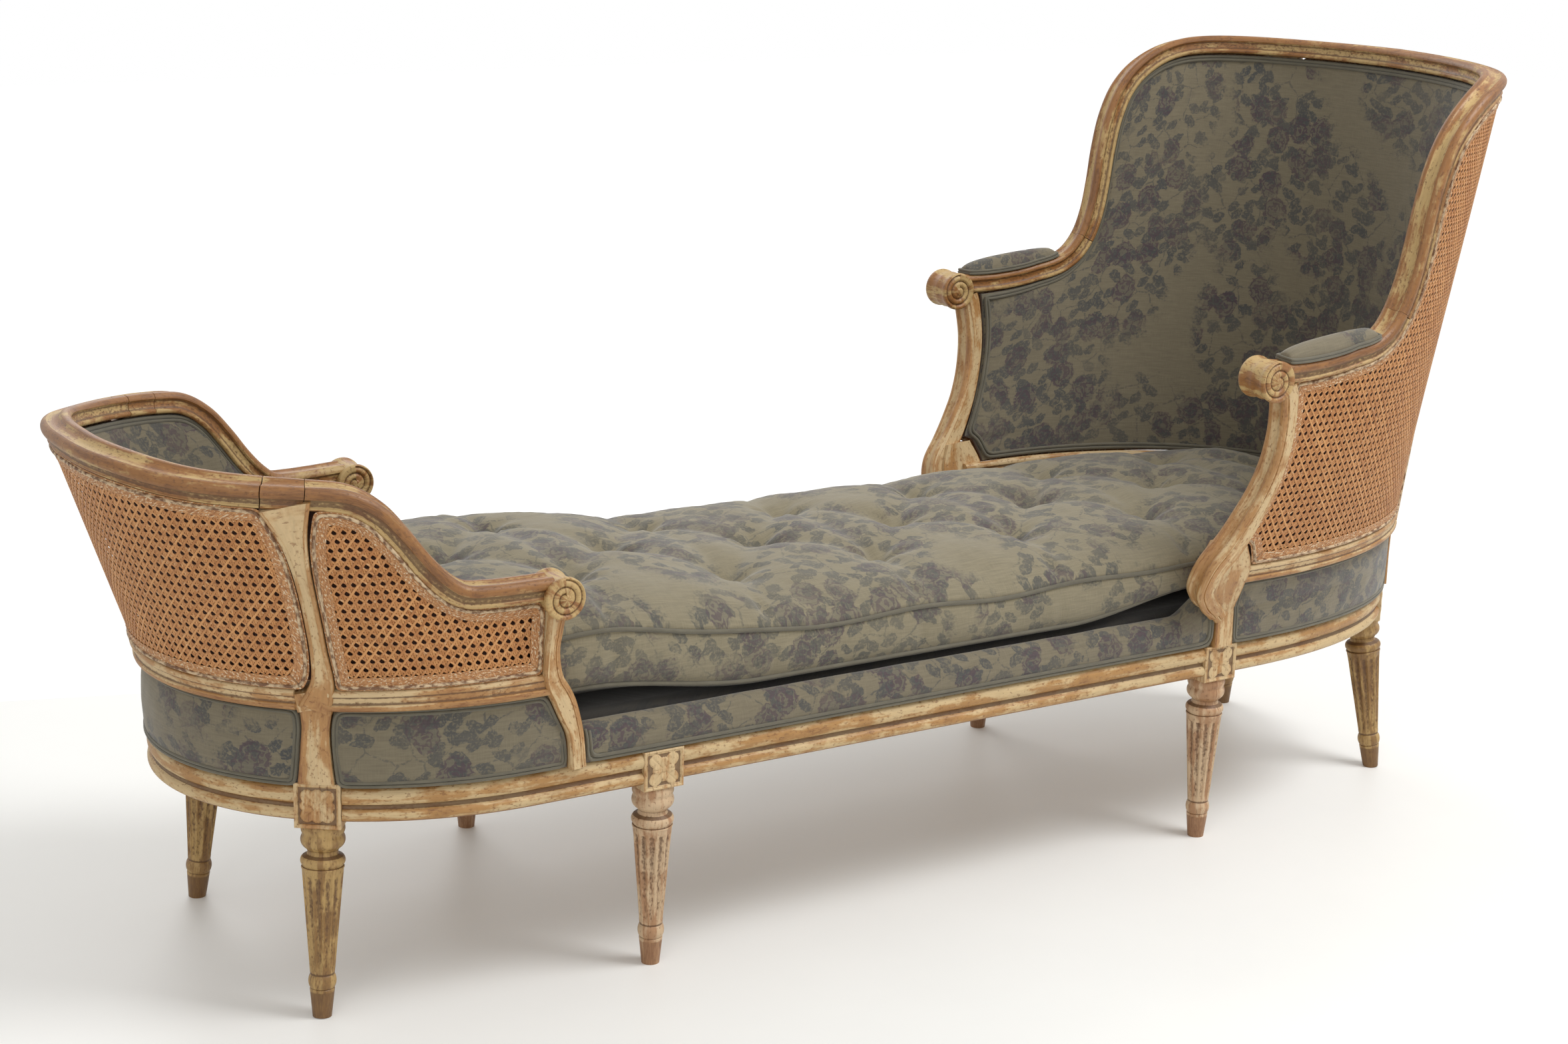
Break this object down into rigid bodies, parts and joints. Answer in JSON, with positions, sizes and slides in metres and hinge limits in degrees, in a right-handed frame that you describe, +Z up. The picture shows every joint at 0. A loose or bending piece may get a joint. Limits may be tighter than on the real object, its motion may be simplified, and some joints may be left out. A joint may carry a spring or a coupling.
{
  "type": "chaise longue",
  "caption": "Long daybed with a high curved caned head end, a low caned foot end, eight turned fluted legs, upholstered inside, and a loose tufted mattress.",
  "frame": {"origin": "on the floor, in the middle of the length and of the width", "axes": "+X along the length towards the high head end, +Y across to the far side, +Z up"},
  "size_m": [1.9886, 0.7418, 1.0239],
  "materials": {
    "worn_cream_wood": "rubbed cream paint over beech",
    "worn_ochre_wood": "paint rubbed through to ochre beech on the mouldings",
    "bare_beech": "plain",
    "cane": "hand-woven cane, waxed",
    "upholstery_linen": "printed linen with a double welt",
    "mattress_linen": "printed linen, tufted",
    "jute_webbing": "woven"
  },
  "bodies": {
    "frame": {"foot_leg_near": "worn_cream_wood", "foot_leg_far": "worn_cream_wood", "foot_middle_leg_near": "worn_cream_wood", "foot_middle_leg_far": "worn_cream_wood", "head_middle_leg_near": "worn_cream_wood", "head_middle_leg_far": "worn_cream_wood", "head_leg_near": "worn_cream_wood", "head_leg_far": "worn_cream_wood", "side_rail_near": "worn_cream_wood", "side_rail_far": "worn_cream_wood", "foot_side_rail_near": "worn_cream_wood", "foot_side_rail_far": "worn_cream_wood", "foot_end_rail": "worn_cream_wood", "head_side_rail_near": "worn_cream_wood", "head_side_rail_far": "worn_cream_wood", "head_end_rail": "worn_cream_wood", "foot_cross_rail": "bare_beech", "head_cross_rail": "bare_beech", "webbing": "jute_webbing", "seat_platform": "upholstery_linen", "foot_crest_rail": "worn_ochre_wood", "foot_arm_near": "worn_ochre_wood", "foot_arm_far": "worn_ochre_wood", "foot_arm_support_near": "worn_cream_wood", "foot_arm_support_far": "worn_cream_wood", "foot_stile_near": "worn_cream_wood", "foot_stile_far": "worn_cream_wood", "foot_low_rail_end": "worn_cream_wood", "foot_low_rail_near": "worn_cream_wood", "foot_low_rail_far": "worn_cream_wood", "foot_cane_end": "cane", "foot_cane_near": "cane", "foot_cane_far": "cane", "foot_inner_pad": "upholstery_linen", "foot_band_end": "upholstery_linen", "foot_band_near": "upholstery_linen", "foot_band_far": "upholstery_linen", "head_crest_rail": "worn_ochre_wood", "head_arm_near": "worn_ochre_wood", "head_arm_far": "worn_ochre_wood", "head_arm_support_near": "worn_cream_wood", "head_arm_support_far": "worn_cream_wood", "head_stile_near": "worn_cream_wood", "head_stile_far": "worn_cream_wood", "head_low_rail_end": "worn_cream_wood", "head_low_rail_near": "worn_cream_wood", "head_low_rail_far": "worn_cream_wood", "head_cane_back": "cane", "head_cane_near": "cane", "head_cane_far": "cane", "head_inner_pad": "upholstery_linen", "arm_pad_near": "upholstery_linen", "arm_pad_far": "upholstery_linen", "head_band_end": "upholstery_linen", "head_band_near": "upholstery_linen", "head_band_far": "upholstery_linen", "edge_roll_near": "upholstery_linen", "edge_roll_far": "upholstery_linen"},
    "mattress": {"mattress": "mattress_linen"}
  },
  "joints": [
    {"name": "mattress_lift", "type": "slide", "parent": "frame", "child": "mattress", "axis": [0, 0, 1], "range_m": [0, 0.4]}
  ]
}
